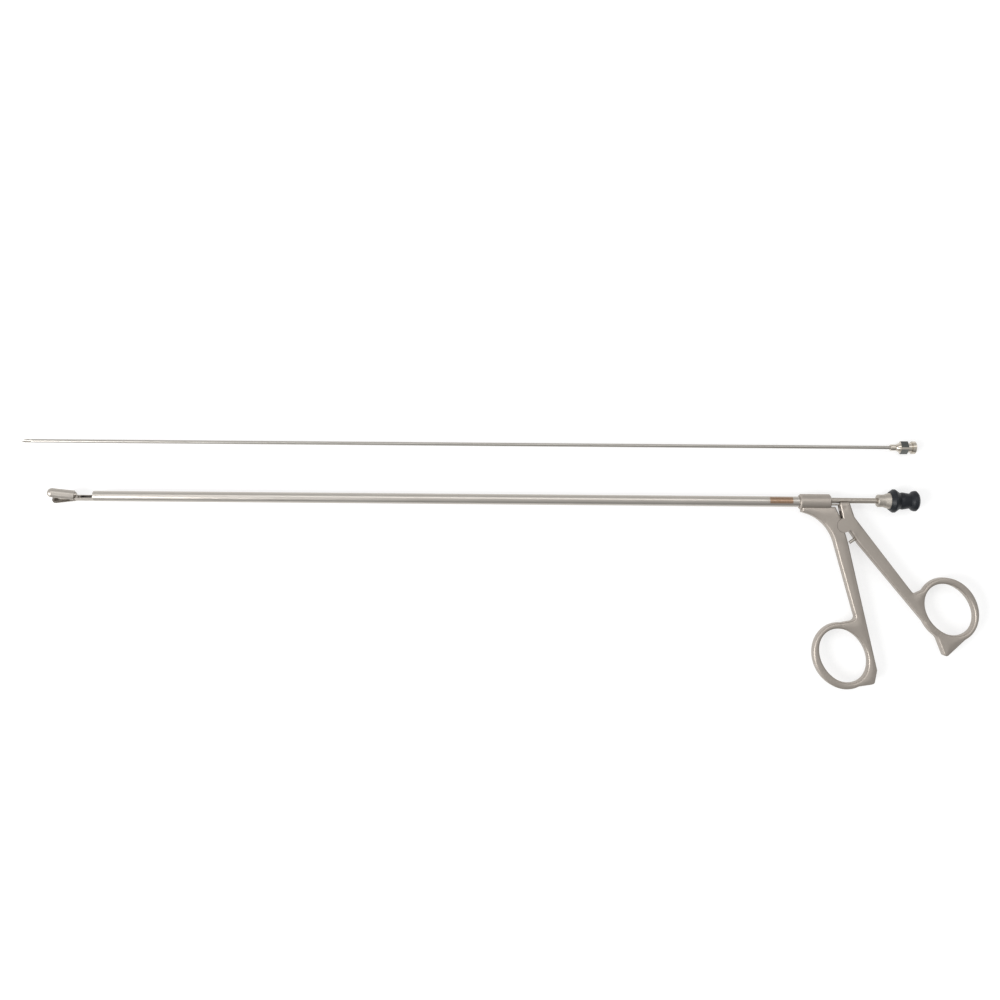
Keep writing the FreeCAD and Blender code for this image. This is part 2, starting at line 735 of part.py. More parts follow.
def make_ring_rim(side):
    """The elliptical outline of a finger ring's outside, a little off its hole's centre."""
    rim = doc.addObject("Part::Ellipse", f"{side}_ring_outside")
    bind(rim, MajorRadius=f"{side}_ring_length / 2 + {side}_rim_ends",
         MinorRadius=f"{side}_ring_width / 2 + {side}_ring_wall")
    return shifted(rim, f"{side}_ring_x + {side}_rim_x", f"{side}_rim_y - {side}_ring_drop", "0",
                   "0; 0; 1", f"{side}_rim_angle")


def make_handle(name, corners, rounds):
    """A handle's arm and ring with rounded edges, before the pivot is cut into it."""
    side = name.split("_")[0]
    sketch = new_sketch(f"{name}_outline")
    draw_polygon(sketch, corners)
    arm = plate_from(f"{name}_arm", sketch, "handle_thickness")
    arm = rounded(f"{name}_arm_rounded", arm, corner_rounds(*rounds))
    rim = plate_from(f"{side}_ring_rim", make_ring_rim(side), "handle_thickness")
    blank = fused(f"{name}_blank", [arm, rim])

    def meets_ring(edge):
        """Where an arm's side runs into the ring's rim, the corner gets a web."""
        faces = blank.Shape.ancestorsOfType(edge, Part.Face)
        kinds = {type(face.Surface) for face in faces}
        return size("web_r") if upright(edge) and len(kinds) == 2 and Part.Plane in kinds and \
            Part.SurfaceOfExtrusion in kinds else None

    webbed = rounded(f"{name}_webbed", blank, meets_ring)
    hole = plate_from(f"{side}_ring_hole", make_ring_hole(side), "2 * handle_thickness")
    pierced = cut(f"{name}_pierced", webbed, [hole])
    hole_radius = size(f"{side}_ring_length") / 2

    def flat_edge(edge):
        """Edges of the two flat faces are rounded, more so in the ring's hole."""
        box = edge.BoundBox
        if box.ZLength > 1e-6 or abs(abs(box.ZMin) - size("handle_thickness") / 2) > 1e-6:
            return None
        inner = isinstance(edge.Curve, Part.Ellipse) and abs(edge.Curve.MajorRadius - hole_radius) < 1e-3
        return size("ring_edge_round") if inner else size("edge_round")

    return rounded(f"{name}_soft", pierced, flat_edge)


def pivot_disc(name, diameter, low, height):
    return round_bar(name, diameter, height, "pivot_x", "-pivot_drop", low)


def make_front_handle():
    corners = [
        ("plate_front", "-plate_top"),
        ("plate_back", "-plate_top"),
        ("plate_shoulder_x", "-plate_shoulder_drop"),
        ("crotch_x", "-crotch_drop"),
        ("neck_x", "-neck_drop"),
        ("front_foot_x", "-front_foot_drop"),
        ("front_bend_x", "-front_bend_drop"),
        ("front_heel_x", "-front_heel_drop"),
        ("front_heel_base_x", "-front_heel_base_drop"),
        ("front_ring_x", "-front_ring_drop"),
        ("front_web_end_x", "-front_web_end_drop"),
        ("front_web_x", "-front_web_drop"),
        ("front_foot_x - front_arm_foot", "-front_foot_drop"),
        ("plate_corner_x", "-plate_corner_drop"),
        ("plate_front", "-plate_depth")]
    rounds = [
        (size("front_heel_x"), -size("front_heel_drop"), size("front_heel_r")),
        (size("front_web_x"), -size("front_web_drop"), size("web_r")),
        (size("plate_corner_x"), -size("plate_corner_drop"), size("plate_sweep_r"))]
    soft = make_handle("front_handle", corners, rounds)
    saddle = along_bar("barrel_saddle", "barrel_d", "barrel_length + past", "-past")
    pockets = [
        pivot_disc("lap_pocket_top", "2 * (cheek_r + lap_play)", "tongue / 2", "handle_thickness"),
        pivot_disc("lap_pocket_base", "2 * (cheek_r + lap_play)", "-tongue / 2 - handle_thickness",
                   "handle_thickness")]
    lapped = cut("front_handle_lapped", soft, pockets + [saddle])
    tongue = pivot_disc("tongue_disc", "2 * cheek_r", "-tongue / 2", "tongue")
    blank = fused("front_handle_tongued", [lapped, tongue])
    bore = pivot_disc("tongue_bore", "pivot_pin_d + 2 * pin_play", "-handle_thickness",
                      "2 * handle_thickness")
    cut("front_handle", blank, [bore])


def stop_line():
    """The stop pin's place on the rear arm's inner edge, and its direction, square to that edge."""
    start = Vector(size("rear_crotch_x"), -size("rear_crotch_drop"), 0)
    edge = Vector(size("rear_inner_x"), -size("rear_inner_drop"), 0) - start
    edge.normalize()
    return start + edge * size("stop_along"), Vector(edge.y, -edge.x, 0)


def make_stop_pin(name):
    root, outward = stop_line()
    pin = doc.addObject("Part::Cylinder", name)
    bind(pin, Radius="stop_d / 2", Height="stop_depth + stop_reach")
    pin.Placement = FreeCAD.Placement(root - outward * size("stop_depth"),
                                      FreeCAD.Rotation(Vector(0, 0, 1), outward))
    return pin


def make_rear_handle():
    corners = [
        ("rear_top_x", "-rear_top"),
        ("rear_top_end", "-rear_top"),
        ("rear_back_x", "-rear_back_drop"),
        ("rear_elbow_x", "-rear_elbow_drop"),
        ("rear_outer_x", "-rear_outer_drop"),
        ("rear_web_x", "-rear_web_drop"),
        ("rear_web_end_x", "-rear_web_end_drop"),
        ("rear_ring_x", "-rear_ring_drop"),
        ("rear_heel_base_x", "-rear_heel_base_drop"),
        ("rear_heel_x", "-rear_heel_drop"),
        ("rear_bend_x", "-rear_bend_drop"),
        ("rear_inner_x", "-rear_inner_drop"),
        ("rear_crotch_x", "-rear_crotch_drop"),
        ("pivot_x", "-pivot_drop - cheek_r / 2"),
        ("pivot_x - cheek_r / 10", "-pivot_drop + cheek_r / 2")]
    rounds = [
        (size("rear_heel_x"), -size("rear_heel_drop"), size("rear_heel_r")),
        (size("rear_bend_x"), -size("rear_bend_drop"), size("bend_r")),
        (size("rear_web_x"), -size("rear_web_drop"), size("web_r")),
        (size("rear_top_end"), -size("rear_top"), size("rear_top_r")),
        (size("rear_top_x"), -size("rear_top"), size("rear_top_r")),
        (size("rear_back_x"), -size("rear_back_drop"), size("rear_back_r")),
        (size("rear_elbow_x"), -size("rear_elbow_drop"), size("rear_elbow_r"))]
    soft = make_handle("rear_handle", corners, rounds)
    cheeks = pivot_disc("cheek_disc", "2 * cheek_r", "-handle_thickness / 2", "handle_thickness")
    slot = block("clevis_slot", "plate_back - 2 * past", "-pivot_drop", "-slot / 2",
                 "rear_elbow_x - plate_back", "pivot_drop", "slot")
    low_top = block("low_cheek_top", "plate_back - 2 * past", "-low_cheek_drop", "-handle_thickness",
                    "rear_elbow_x - plate_back", "low_cheek_drop + past", "handle_thickness")
    round_slot = pivot_disc("clevis_round", "2 * (cheek_r + lap_play)", "-slot / 2", "slot")
    bore = pivot_disc("cheek_bore", "pivot_pin_d", "-handle_thickness", "2 * handle_thickness")
    drive = round_bar("drive_bore", "drive_pin_d", "2 * handle_thickness", "pivot_x", DRIVE_Y,
                      "-handle_thickness")
    blank = fused("rear_handle_cheeked", [soft, cheeks])
    cut("rear_handle", blank, [slot, low_top, round_slot, bore, drive, make_stop_pin("stop_bore")])
    make_stop_pin("stop_pin")
    pivot_disc("pivot_pin", "pivot_pin_d", "-handle_thickness / 2", "handle_thickness")
    round_bar("drive_pin", "drive_pin_d", "handle_thickness", "pivot_x", DRIVE_Y, "-handle_thickness / 2")


# The needle, in a frame that has its point at the origin and its hub at +X. It lies on the same
# table as the seal cap, tilted so that both its hub and its point touch.

TABLE = "(-guide_offset * sin(jaw_roll) - cap_flange_d / 2)"
NEEDLE_TILT = "-asin((hub_collar - needle_d) / 2 / (needle_tip + hub_front))"


ON_TABLE = (f"placement(vector(-needle_tip; needle_side; {TABLE} + needle_d / 2); "
            f"rotation(vector(0; 1; 0); {NEEDLE_TILT}))")


def make_needle():
    hub_at = "(needle_tip + hub_front)"
    stock = drawn_bar("needle_stock", f"{hub_at} + needle_in_hub", [("needle_d",), ("needle_bore",)])
    grind = block("needle_grind", "0", "-needle_d", "0", "2 * needle_bevel", "2 * needle_d", "4 * needle_d")
    shifted(grind, z="-needle_d / 2", y="-needle_d", axis="0; 1; 0", turn="-atan(needle_d / needle_bevel)")
    bind(cut("needle_tube", stock, [grind]), Placement=ON_TABLE)
    ferrule = turned("needle_ferrule", [
        ("0", "needle_d / 2"),
        ("0", "ferrule_d / 2 - hub_edge"),
        ("hub_edge", "ferrule_d / 2"),
        ("ferrule_length - hub_edge", "ferrule_d / 2"),
        ("ferrule_length", "ferrule_d / 2 - hub_edge"),
        ("ferrule_length", "needle_d / 2")])
    along = f"placement(vector({hub_at} - ferrule_length; 0; 0); rotation(vector(1; 0; 0); 0))"
    bind(ferrule, Placement=f"{ON_TABLE} * {along}")
    collar_x = f"{hub_at} + hub_cone_length"
    neck_x = f"{collar_x} + hub_collar_length"
    flange_x = f"{neck_x} + hub_neck_length"
    end = f"{flange_x} + hub_flange_length"
    core = turned("hub_core", [
        (hub_at, "needle_d / 2"),
        (hub_at, "hub_nose_d / 2 - hub_edge"),
        (f"{hub_at} + hub_edge", "hub_nose_d / 2"),
        (collar_x, "hub_cone_d / 2"),
        (neck_x, "hub_cone_d / 2"),
        (neck_x, "hub_neck_d / 2"),
        (flange_x, "hub_neck_d / 2"),
        (flange_x, "hub_flange_d / 2"),
        (f"{end} - hub_edge", "hub_flange_d / 2"),
        (end, "hub_flange_d / 2 - hub_edge"),
        (end, "socket_d / 2"),
        (f"{end} - socket_depth", "socket_d / 2 - socket_depth * socket_taper_ratio"),
        (f"{end} - socket_depth", "needle_bore / 2"),
        (f"{hub_at} + needle_in_hub", "needle_bore / 2"),
        (f"{hub_at} + needle_in_hub", "needle_d / 2")])
    square = doc.addObject("Part::Box", "hub_square")
    bind(square, Length="hub_collar_length", Width="hub_flats", Height="hub_flats")
    bind(square, Placement=f"placement(vector({collar_x}; 0; 0); rotation(vector(1; 0; 0); hub_roll)) * "
         "placement(vector(0; -hub_flats / 2; -hub_flats / 2); rotation(vector(1; 0; 0); 0))")
    round_collar = along_bar("hub_round", "hub_collar", "hub_collar_length", collar_x)
    hollow = along_bar("hub_square_hole", "hub_cone_d - 2 * hub_edge", "2 * hub_collar_length",
                       f"{collar_x} - hub_collar_length / 2")
    collar = cut("hub_collar_ring", common("hub_flatted", [square, round_collar]), [hollow])
    hub = fused("needle_hub", [core, collar])
    bind(hub, Placement=ON_TABLE)


NODES = [
    "shaft_tube", "barrel", "rod_seal", "barrel_plug", "guide_tube", "port_hub", "seal_cap",
    "jaw_fork", "jaw_pin", "upper_jaw", "lower_jaw", "upper_tail_pin", "lower_tail_pin",
    "upper_link", "lower_link", "link_pin", "drive_head", "pull_rod", "rod_eye",
    "front_handle", "rear_handle", "pivot_pin", "drive_pin", "stop_pin",
    "needle_tube", "needle_ferrule", "needle_hub"]

make_shaft()
make_guide_tube()
make_port()
make_fork()
make_linkage()
make_jaw("upper_jaw", 1, "near")
make_jaw("lower_jaw", -1, "far")
make_rod()
make_front_handle()
make_rear_handle()
make_needle()
doc.recompute()

for feature in doc.Objects:
    if "Invalid" in feature.State or "Error" in feature.State:
        raise ValueError(f"{feature.Name} failed: {feature.State}")
for name in NODES:
    shape = doc.getObject(name).Shape
    if shape.isNull() or not shape.isValid():
        raise ValueError(f"{name} has no valid shape")

os.makedirs("parts", exist_ok=True)
for name in NODES:
    shape = doc.getObject(name).Shape
    shape.exportStep(f"parts/{name}.step")
    print(f"{name}: {len(shape.Solids)} solid, {shape.Volume:.2f} mm3")
print(f"rod pin {ROD_PIN_AT:.4f}, slack {LINK_SLACK:.4f}, handle travel {HANDLE_TRAVEL:.3f}")
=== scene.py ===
import json
import math

import bmesh
import bpy
from mathutils import Euler, Matrix, Vector
from mathutils.bvhtree import BVHTree


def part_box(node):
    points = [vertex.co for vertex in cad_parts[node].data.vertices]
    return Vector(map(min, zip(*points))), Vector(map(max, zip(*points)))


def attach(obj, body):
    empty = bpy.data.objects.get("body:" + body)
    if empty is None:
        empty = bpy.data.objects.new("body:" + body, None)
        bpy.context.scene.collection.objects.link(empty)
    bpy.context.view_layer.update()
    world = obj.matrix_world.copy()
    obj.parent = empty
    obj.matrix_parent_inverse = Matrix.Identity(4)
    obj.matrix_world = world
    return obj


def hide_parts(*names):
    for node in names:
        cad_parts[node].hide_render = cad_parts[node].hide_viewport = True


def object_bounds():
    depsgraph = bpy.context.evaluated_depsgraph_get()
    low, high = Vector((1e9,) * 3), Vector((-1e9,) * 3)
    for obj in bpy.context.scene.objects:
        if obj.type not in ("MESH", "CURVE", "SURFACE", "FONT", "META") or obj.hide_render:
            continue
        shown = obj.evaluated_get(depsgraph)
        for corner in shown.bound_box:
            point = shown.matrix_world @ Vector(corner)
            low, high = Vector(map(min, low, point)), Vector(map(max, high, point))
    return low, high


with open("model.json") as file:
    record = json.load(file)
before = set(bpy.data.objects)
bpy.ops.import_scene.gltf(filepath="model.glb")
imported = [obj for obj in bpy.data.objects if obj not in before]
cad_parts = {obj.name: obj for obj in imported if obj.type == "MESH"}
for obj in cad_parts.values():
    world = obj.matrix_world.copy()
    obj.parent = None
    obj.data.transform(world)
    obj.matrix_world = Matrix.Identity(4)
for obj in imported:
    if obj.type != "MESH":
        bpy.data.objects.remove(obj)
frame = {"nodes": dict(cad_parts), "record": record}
cad_low, cad_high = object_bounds()

MM = 0.001

# The jaws, the needle channel and the pull rod are rolled about the shaft; CHANNEL is the way to
# the needle channel from the shaft's axis.
JAW_ROLL = math.radians(27)
CHANNEL = Vector((0, math.cos(JAW_ROLL), -math.sin(JAW_ROLL)))


# Sockets as values: sums and products on them add Math nodes

class Flow:
    """One number or vector that comes out of a node."""

    def __init__(self, finish, socket):
        self.finish = finish
        self.socket = socket

    def math(self, operation, *values):
        return self.finish.node("ShaderNodeMath", {"operation": operation}, dict(enumerate(values)))

    def __add__(self, other):
        return self.math("ADD", self, other)

    def __rsub__(self, other):
        return self.math("SUBTRACT", other, self)

    def __mul__(self, other):
        return self.math("MULTIPLY", self, other)

    __radd__ = __add__
    __rmul__ = __mul__

    def between(self, low, high, soft):
        """1 where the value lies between low and high, with soft edges."""
        rise, fall = (
            self.finish.node("ShaderNodeMapRange", {"interpolation_type": "SMOOTHSTEP"},
                             {0: self, 1: edge - soft, 2: edge + soft})
            for edge in (low, high))
        return rise * (1 - fall)


class Finish:
    """A procedural material around one Principled shader."""

    def __init__(self, name, **fixed):
        self.material = bpy.data.materials.new(name)
        self.material.use_nodes = True
        self.tree = self.material.node_tree
        self.tree.nodes.clear()
        output = self.tree.nodes.new("ShaderNodeOutputMaterial")
        self.shader = self.tree.nodes.new("ShaderNodeBsdfPrincipled")
        self.tree.links.new(self.shader.outputs[0], output.inputs[0])
        for key, value in fixed.items():
            label = key.replace("_", " ").title().replace("Ior", "IOR")
            self.shader.inputs[label].default_value = value
        self.place = self.node("ShaderNodeTexCoord", {}, {}, "Object")

    def node(self, kind, settings, inputs, output=0):
        """Adds a node: settings first, then the value or link of each named or numbered socket."""
        made = self.tree.nodes.new(kind)
        for key, value in settings.items():
            setattr(made, key, value)
        for key, value in inputs.items():
            self.link(made.inputs[key], value)
        return Flow(self, made.outputs[output])

    def link(self, socket, value):
        if isinstance(value, Flow):
            self.tree.links.new(value.socket, socket)
        else:
            socket.default_value = value

    def scaled(self, x, y, z):
        """Object coordinates stretched along the axes; larger numbers make a finer pattern."""
        return self.node("ShaderNodeMapping", {}, {"Vector": self.place, "Scale": (x, y, z)})

    def noise(self, place, scale, detail):
        return self.node("ShaderNodeTexNoise", {}, {
            "Vector": place, "Scale": scale, "Detail": detail, "Roughness": 0.55})

    def mixed(self, factor, first, second):
        """A colour between two colours."""
        return self.node("ShaderNodeMix", {"data_type": "RGBA"},
                         {0: factor, 6: first, 7: second}, 2)

    def axis(self, name):
        """One of the object's coordinates, in metres."""
        return self.node("ShaderNodeSeparateXYZ", {}, {0: self.place}, name)

    def bumped(self, height, strength, distance):
        bump = self.node("ShaderNodeBump", {}, {
            "Height": height, "Strength": strength, "Distance": distance})
        self.link(self.shader.inputs["Normal"], bump)

    def shows(self, colour, roughness):
        self.link(self.shader.inputs["Base Color"], colour)
        self.link(self.shader.inputs["Roughness"], roughness)
        return self.material


def grey(red, green, blue):
    return (red, green, blue, 1.0)


def blasted_steel(name, light, dark, rough):
    """Stainless steel blasted with glass beads: an even, fine-grained satin."""
    finish = Finish(name, metallic=1.0)
    grain = finish.noise(finish.place, 3200, 2.0)
    cloud = finish.noise(finish.place, 140, 3.0)
    speck = finish.noise(finish.place, 900, 2.0)
    finish.bumped(grain + speck * 0.5, 0.35, 0.00003)
    colour = finish.mixed(cloud * 0.7 + speck * 0.3, dark, light)
    return finish.shows(colour, rough + cloud * 0.08 + grain * 0.06)


def ground_steel(name, light, dark, rough, brown=None):
    """Stainless tube, ground round its outside and wiped along its length."""
    finish = Finish(name, metallic=1.0)
    rings = finish.noise(finish.scaled(5200, 260, 260), 1.0, 2.0)
    wipes = finish.noise(finish.scaled(60, 2400, 2400), 1.0, 2.0)
    cloud = finish.noise(finish.scaled(45, 220, 220), 1.0, 3.0)
    finish.bumped(rings * 0.6 + wipes * 0.4, 0.25, 0.000012)
    colour = finish.mixed(cloud * 0.75 + wipes * 0.25, dark, light)
    roughness = rough + cloud * 0.1 + rings * 0.05
    if brown:
        colour = finish.mixed(brown_patch(finish), colour, brown)
    return finish.shows(colour, roughness)


# Where the soft brown patch lies on the shaft, and how soft its edges are, in metres
PATCH_X = (-0.0143, -0.0033)
PATCH_Y = (-0.0009, 0.0021)
PATCH_Z = (0.0002, 0.004)
PATCH_SOFT = 0.0003
PATCH_SOFT_DOWN = 0.0002


def brown_patch(finish):
    """How brown the tube is; blotchy, and only on the side that faces up."""
    patch = (finish.axis("X").between(*PATCH_X, PATCH_SOFT)
             * finish.axis("Y").between(*PATCH_Y, PATCH_SOFT))
    blotches = finish.noise(finish.place, 1800, 2.0)
    return patch * finish.axis("Z").between(*PATCH_Z, PATCH_SOFT_DOWN) * (0.5 + blotches * 0.45)


def polished_metal(name, light, dark, rough):
    """Nickel plating with faint wiping marks."""
    finish = Finish(name, metallic=1.0)
    cloud = finish.noise(finish.place, 420, 3.0)
    wipes = finish.noise(finish.scaled(4200, 600, 600), 1.0, 2.0)
    finish.bumped(wipes, 0.12, 0.00001)
    return finish.shows(finish.mixed(cloud, dark, light), rough + cloud * 0.06 + wipes * 0.04)


def moulded_rubber(name, light, dark):
    """Black silicone rubber with a soft shine and a fine mould texture."""
    finish = Finish(name, ior=1.4, specular_ior_level=0.4)
    grain = finish.noise(finish.place, 2600, 3.0)
    cloud = finish.noise(finish.place, 350, 3.0)
    finish.bumped(grain + cloud * 0.6, 0.4, 0.00004)
    return finish.shows(finish.mixed(cloud * 0.6 + grain * 0.4, dark, light), 0.34 + cloud * 0.14)


HANDLE_STEEL = blasted_steel(
    "handle_steel", grey(0.45, 0.408, 0.366), grey(0.385, 0.347, 0.307), 0.4)
JAW_STEEL = blasted_steel("jaw_steel", grey(0.5, 0.465, 0.42), grey(0.38, 0.35, 0.315), 0.36)
PIN_STEEL = ground_steel("pin_steel", grey(0.5, 0.46, 0.42), grey(0.4, 0.37, 0.33), 0.28)
ROD_STEEL = ground_steel("rod_steel", grey(0.46, 0.43, 0.39), grey(0.36, 0.33, 0.3), 0.25)
GUIDE_STEEL = ground_steel("guide_steel", grey(0.46, 0.42, 0.37), grey(0.37, 0.335, 0.295), 0.3)
SHAFT_STEEL = ground_steel("shaft_steel", grey(0.53, 0.5, 0.46), grey(0.45, 0.42, 0.38), 0.27,
                           grey(0.27, 0.13, 0.05))
PORT_METAL = blasted_steel("port_metal", grey(0.5, 0.465, 0.415), grey(0.42, 0.385, 0.34), 0.4)
# Dark steel that stands for painted shade: the links, the drive head and the fork's slot sit in
# shade
SLOT_SHADE_STEEL = blasted_steel(
    "slot_shade_steel", grey(0.17, 0.155, 0.14), grey(0.09, 0.082, 0.075), 0.45)
NEEDLE_STEEL = ground_steel("needle_steel", grey(0.45, 0.43, 0.4), grey(0.35, 0.33, 0.3), 0.24)
HUB_PLATING = polished_metal("hub_plating", grey(0.62, 0.57, 0.5), grey(0.5, 0.46, 0.4), 0.1)
# Dark plating for the hub's flats: a painted reflection of dark surroundings, not the plating's own
# colour
HUB_FLAT_REFLECTION = polished_metal("hub_flat_dark_reflection", grey(0.17, 0.175, 0.165), grey(0.1, 0.105, 0.1), 0.2)
CAP_RUBBER = moulded_rubber("cap_rubber", grey(0.014, 0.016, 0.02), grey(0.006, 0.008, 0.011))
SEAL_RUBBER = moulded_rubber("seal_rubber", grey(0.02, 0.02, 0.021), grey(0.011, 0.011, 0.012))

FINISHES = {
    "shaft_steel": SHAFT_STEEL,
    "handle_steel": HANDLE_STEEL,
    "jaw_steel": JAW_STEEL,
    "pin_steel": PIN_STEEL,
    "rod_steel": ROD_STEEL,
    "port_metal": PORT_METAL,
    "cap_rubber": CAP_RUBBER,
    "seal_rubber": SEAL_RUBBER,
    "needle_steel": NEEDLE_STEEL,
    "hub_plating": HUB_PLATING,
}
SLOT_OF = {part["node"]: part["material_slot"] for part in frame["record"]["subparts"]}
BODIES = frame["record"]["behaviour"]["bodies"]
BODY_OF = {node: body for body, nodes in BODIES.items() for node in nodes}

for node, piece in frame["nodes"].items():
    piece.data.materials.clear()
    piece.data.materials.append(FINISHES[SLOT_OF[node]])


# Pieces

# Edges whose faces meet at more than these angles, in degrees, stay sharp
MILLED_SHARP = 32
TURNED_SHARP = 30
MOUTH_SHARP = 40

# Points closer than this are one point, in metres
SAME_POINT = 2e-7


def placed(name, work, node, finish=None):
    """Turns a bmesh into a piece that stands for a CAD node and rides on its body."""
    mesh = bpy.data.meshes.new(name)
    bmesh.ops.recalc_face_normals(work, faces=work.faces)
    for face in work.faces:
        face.smooth = True
    work.to_mesh(mesh)
    work.free()
    mesh.materials.append(finish or FINISHES[SLOT_OF[node]])
    piece = bpy.data.objects.new(name, mesh)
    bpy.context.scene.collection.objects.link(piece)
    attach(piece, BODY_OF[node])
    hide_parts(node)
    return piece


def sharp_over(work, degrees):
    """Marks the edges whose faces meet at more than this angle as sharp."""
    for edge in work.edges:
        edge.smooth = edge.calc_face_angle(0) < math.radians(degrees)


def weighted(piece):
    """Flat faces stay flat where soft edges run into them."""
    modifier = piece.modifiers.new("weighted_normals", "WEIGHTED_NORMAL")
    modifier.keep_sharp = True
    modifier.weight = 100
    return piece


def merged_copy(node):
    """A bmesh of a CAD node with its loose triangles joined."""
    work = bmesh.new()
    work.from_mesh(frame["nodes"][node].data)
    bmesh.ops.remove_doubles(work, verts=work.verts, dist=SAME_POINT)
    return work


def finished_copy(node, finish=None):
    """A merged copy of a CAD node, smooth over its fillets and sharp at its edges."""
    work = merged_copy(node)
    sharp_over(work, MILLED_SHARP)
    return weighted(placed(node + "_skin", work, node, finish))


def second_finish(piece, finish, chosen):
    """Gives the faces that chosen picks by their middle and normal a finish of their own."""
    piece.data.materials.append(finish)
    for face in piece.data.polygons:
        if chosen(face.center, face.normal):
            face.material_index = 1


low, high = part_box("pivot_pin")
PIVOT = (low + high) / 2
FLAT_ROUND_PIVOT = 6 * MM
CROWN_STEP = 1.1 * MM
CROWN_REACH = 3 * MM
CROWN_DROP = 0.3 * MM


def crowned_handle(node):
    """A forged handle: its two flats fall away softly to the outline, except round the pivot."""
    work = merged_copy(node)
    low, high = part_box(node)
    for axis in (0, 1):
        across = Vector([float(index == axis) for index in range(3)])
        for step in range(1, int((high[axis] - low[axis]) / CROWN_STEP) + 1):
            bmesh.ops.bisect_plane(
                work, geom=work.verts[:] + work.edges[:] + work.faces[:], dist=1e-7,
                plane_co=across * (low[axis] + step * CROWN_STEP), plane_no=across)
    bmesh.ops.triangulate(work, faces=work.faces)
    sides = [face for face in work.faces
             if any(abs(vert.co.z) < high.z - 1e-6 for vert in face.verts)]
    outline = BVHTree.FromPolygons([vert.co for face in sides for vert in face.verts],
                                   [range(3 * index, 3 * index + 3) for index in range(len(sides))])
    for vert in work.verts:
        inward = min(outline.find_nearest(vert.co)[3] / CROWN_REACH, 1)
        away = min(max(((vert.co - PIVOT).xy.length - FLAT_ROUND_PIVOT) / CROWN_REACH, 0), 1)
        vert.co.z *= 1 - CROWN_DROP * away * (1 - inward) ** 2 / high.z
    sharp_over(work, MILLED_SHARP)
    return placed(node + "_skin", work, node)


def spun(profile, start, segments):
    """A bmesh turned about the X direction; the profile is (along, radius) pairs in millimetres."""
    work = bmesh.new()
    points = [work.verts.new((along * MM, 0, radius * MM)) for along, radius in profile]
    edges = [work.edges.new(pair) for pair in zip(points, points[1:] + points[:1])]
    bmesh.ops.spin(work, geom=points + edges, cent=(0, 0, 0), axis=(1, 0, 0), angle=2 * math.pi,
                   steps=segments, use_merge=True)
    bmesh.ops.remove_doubles(work, verts=work.verts, dist=1e-8)
    work.transform(Matrix.Translation(start))
    return work


TURNED_CHAMFER = 0.08


def tube(name, node, beside, outside, inside, segments, finish=None):
    """A tube, or a bar if inside is 0, beside the shaft's axis; sizes in millimetres."""
    low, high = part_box(node)
    length = (high.x - low.x) / MM
    work = spun([
        (0, inside),
        (0, outside - TURNED_CHAMFER),
        (TURNED_CHAMFER, outside),
        (length - TURNED_CHAMFER, outside),
        (length, outside - TURNED_CHAMFER),
        (length, inside)], Vector((low.x, 0, 0)) + CHANNEL * beside * MM, segments)
    sharp_over(work, TURNED_SHARP)
    return weighted(placed(name, work, node, finish))


low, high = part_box("shaft_tube")
REACH = -low.x / MM
SEATED = high.x / MM
TUBE_R = 2.5
SEAT_R = 2.34
BORE_R = 2.15
BROKEN_EDGE = 0.1
work = spun([
    (-REACH, BORE_R),
    (-REACH, TUBE_R - 3 * BROKEN_EDGE),
    (BROKEN_EDGE - REACH, TUBE_R - BROKEN_EDGE),
    (3 * BROKEN_EDGE - REACH, TUBE_R),
    (0, TUBE_R),
    (0, SEAT_R),
    (SEATED, SEAT_R),
    (SEATED, BORE_R)], Vector(), 96)
sharp_over(work, MOUTH_SHARP)
weighted(placed("shaft_skin", work, "shaft_tube"))

GUIDE_BESIDE = 0.82
GUIDE_R = 1.3
GUIDE_BORE_R = 1.05
tube("guide_skin", "guide_tube", GUIDE_BESIDE, GUIDE_R, GUIDE_BORE_R, 64, GUIDE_STEEL)
ROD_BESIDE = -1.38
ROD_R = 0.45
tube("rod_skin", "pull_rod", ROD_BESIDE, ROD_R, 0, 32)

crowned_handle("front_handle")
crowned_handle("rear_handle")

# The links and the drive head take the dark steel as painted shade
for finish, nodes in (
        (None, ("barrel", "port_hub", "upper_jaw", "lower_jaw", "rod_eye", "seal_cap",
                "needle_ferrule", "stop_pin", "jaw_pin", "needle_tube")),
        (HANDLE_STEEL, ("pivot_pin", "drive_pin")),
        (SLOT_SHADE_STEEL, ("upper_link", "lower_link", "drive_head"))):
    for node in nodes:
        finished_copy(node, finish)

# The faces inside the slot between the fork's plates are painted dark, as painted shade
low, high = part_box("jaw_pin")
SLOT_MIDDLE = (low + high) / 2
SLOT_HALF = 0.6 * MM
second_finish(
    finished_copy("jaw_fork"), SLOT_SHADE_STEEL,
    lambda middle, normal: abs((middle - SLOT_MIDDLE).dot(CHANNEL)) < SLOT_HALF)

# The needle hub's collar has four milled flats, painted dark as a painted reflection of dark
# surroundings
low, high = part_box("needle_hub")
HUB_MIDDLE = (low + high) / 2
FLAT_AT = 2.55 * MM
FLAT_WITHIN = 0.08 * MM
FLAT_LEAN = 0.1
second_finish(
    finished_copy("needle_hub"), HUB_FLAT_REFLECTION,
    lambda middle, normal: (abs(normal.x) < FLAT_LEAN
                            and abs((middle - HUB_MIDDLE).dot(normal) - FLAT_AT) < FLAT_WITHIN))


# Floor, light and camera

PAPER_HALF = 3.0
PAPER_GREY = 0.45
PAPER_GLOW = 0.6

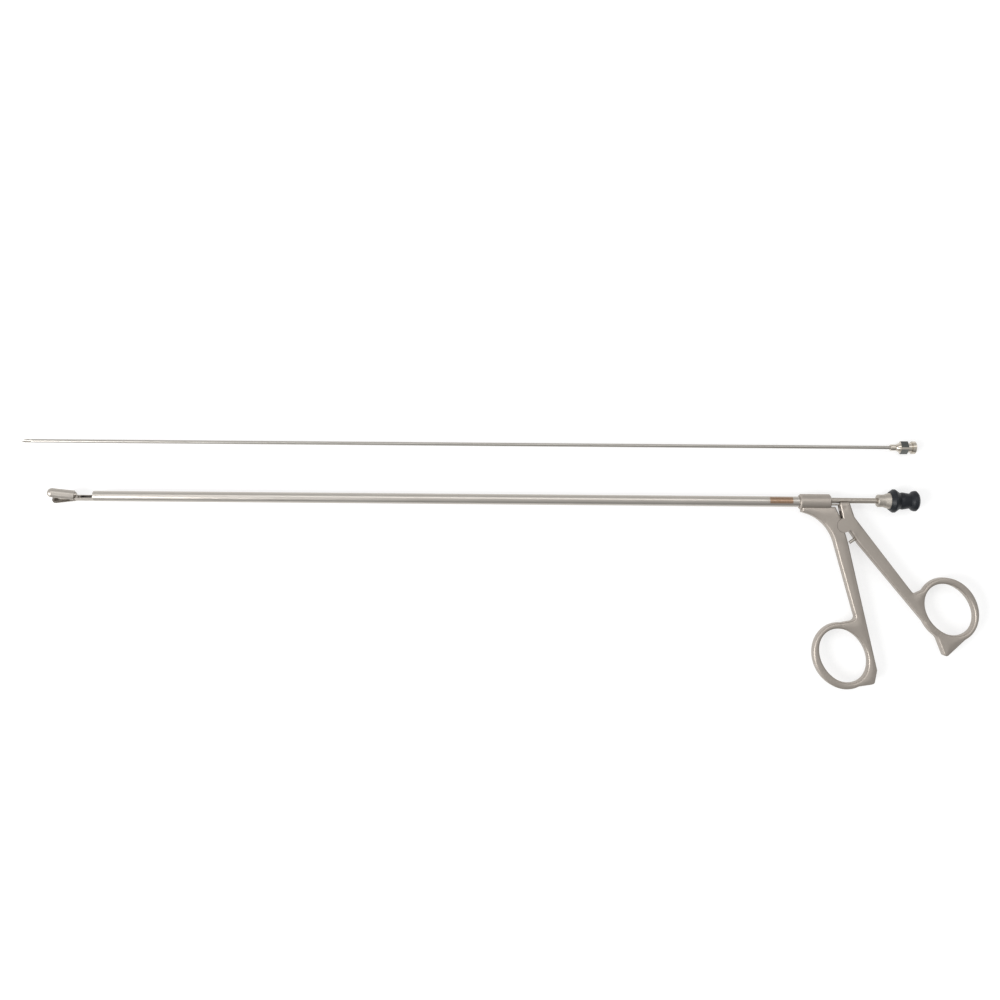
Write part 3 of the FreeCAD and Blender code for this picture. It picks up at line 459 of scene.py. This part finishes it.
floor_z = cad_low[2]
work = bmesh.new()
bmesh.ops.create_grid(work, x_segments=1, y_segments=1, size=PAPER_HALF)
bmesh.ops.translate(work, verts=work.verts, vec=(0, 0, floor_z))
floor_mesh = bpy.data.meshes.new("floor")
work.to_mesh(floor_mesh)
work.free()
floor = bpy.data.objects.new("floor", floor_mesh)
bpy.context.scene.collection.objects.link(floor)
paper = Finish("floor_paper", base_color=grey(PAPER_GREY, PAPER_GREY, PAPER_GREY), roughness=0.9)
rays = paper.tree.nodes.new("ShaderNodeLightPath")
seen = Flow(paper, rays.outputs["Is Camera Ray"]) + Flow(paper, rays.outputs["Is Glossy Ray"])
seen = seen + Flow(paper, rays.outputs["Is Transmission Ray"])
paper.link(paper.shader.inputs["Emission Color"], grey(1, 1, 1))
paper.link(paper.shader.inputs["Emission Strength"], seen * PAPER_GLOW)
floor_mesh.materials.append(paper.material)

# The room is bright overhead and towards the needle's side and the jaws, and dimmer towards the
# rings and behind them. DIM_FACING and BRIGHT_FACING say how far a direction faces that side.
DIM_ROOM = 0.3
BRIGHT_ROOM = 0.74
BRIGHT_SIDE = (-0.42, 0.5, 0.76)
DIM_FACING = -0.6
BRIGHT_FACING = 0.8

world = bpy.data.worlds.new("studio")
bpy.context.scene.world = world
world.use_nodes = True
tree = world.node_tree
way = tree.nodes.new("ShaderNodeTexCoord")
facing = tree.nodes.new("ShaderNodeVectorMath")
facing.operation = "DOT_PRODUCT"
facing.inputs[1].default_value = BRIGHT_SIDE
ramp = tree.nodes.new("ShaderNodeMapRange")
ramp.interpolation_type = "SMOOTHSTEP"
for socket, value in enumerate((DIM_FACING, BRIGHT_FACING, DIM_ROOM, BRIGHT_ROOM), 1):
    ramp.inputs[socket].default_value = value
tree.links.new(way.outputs["Generated"], facing.inputs[0])
tree.links.new(facing.outputs["Value"], ramp.inputs[0])
tree.links.new(ramp.outputs[0], tree.nodes["Background"].inputs["Strength"])
tree.nodes["Background"].inputs["Color"].default_value = grey(1, 1, 1)


def softbox(name, place, target, length, width, power):
    lamp = bpy.data.lights.new(name, "AREA")
    lamp.shape = "RECTANGLE"
    lamp.size = length
    lamp.size_y = width
    lamp.energy = power
    holder = bpy.data.objects.new(name, lamp)
    holder.location = place
    holder.rotation_euler = (Vector(target) - Vector(place)).to_track_quat("-Z", "Y").to_euler()
    bpy.context.scene.collection.objects.link(holder)


softbox("key_lamp", (-0.95, -0.32, 0.75), (-0.05, -0.02, 0), 0.6, 0.6, 9.5)
softbox("strip_lamp", (-0.15, 0.5, 1.05), (-0.15, 0, 0), 1.3, 0.4, 3.0)

CAMERA_PLACE = (-0.14292, -0.00035, 0.502)
CAMERA_TURN = math.radians(0.47)
SENSOR_WIDTH = 36
LENS = 37.8

camera_data = bpy.data.cameras.new("camera")
camera_data.sensor_width = SENSOR_WIDTH
camera_data.lens = LENS
camera_data.clip_start = 0.01
camera = bpy.data.objects.new("camera", camera_data)
camera.location = CAMERA_PLACE
camera.rotation_euler = Euler((0, 0, CAMERA_TURN))
bpy.context.scene.collection.objects.link(camera)
bpy.context.scene.camera = camera
bpy.context.scene.view_settings.view_transform = "Standard"
